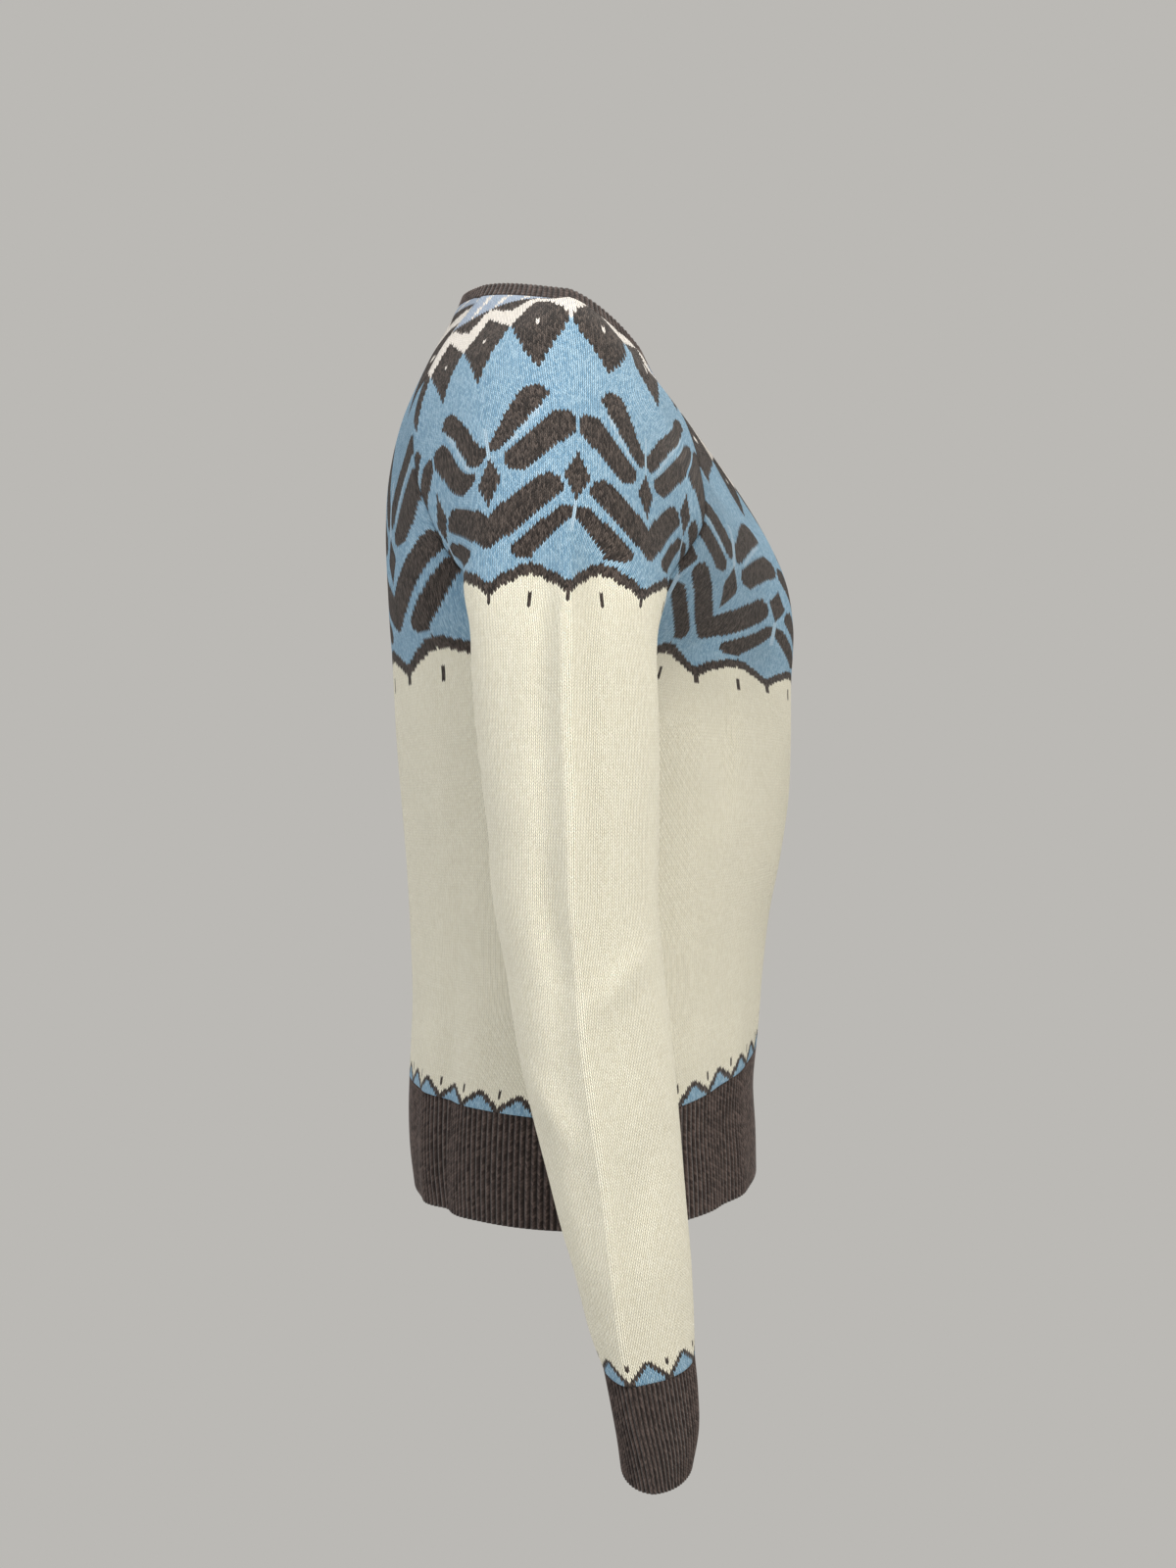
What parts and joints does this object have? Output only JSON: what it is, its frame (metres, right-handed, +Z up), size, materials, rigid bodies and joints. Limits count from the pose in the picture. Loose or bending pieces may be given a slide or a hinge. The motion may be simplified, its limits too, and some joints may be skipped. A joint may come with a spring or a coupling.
{
  "type": "fair isle sweater",
  "caption": "Long-sleeved raglan pullover in its worn shape, hollow and open at neck, hem and cuffs, with a patterned yoke and ribbed edges.",
  "frame": {"origin": "middle of the neck opening, on the mid-plane, at the height of the side neck, where a wearer's shoulders and neck hold the garment up", "axes": "+Z up; the front of the garment faces -Y; the wearer's right side is at -X"},
  "size_m": [0.5144, 0.2743, 0.7319],
  "materials": {
    "stockinette": "cream wool knit with a patterned yoke in light blue and brown",
    "rib": "marled grey-brown wool rib"
  },
  "bodies": {
    "root": {"front": "stockinette", "back": "stockinette", "sleeve_right": "stockinette", "sleeve_left": "stockinette", "neckband": "rib", "hem_rib": "rib", "cuff_right": "rib", "cuff_left": "rib"}
  },
  "joints": []
}
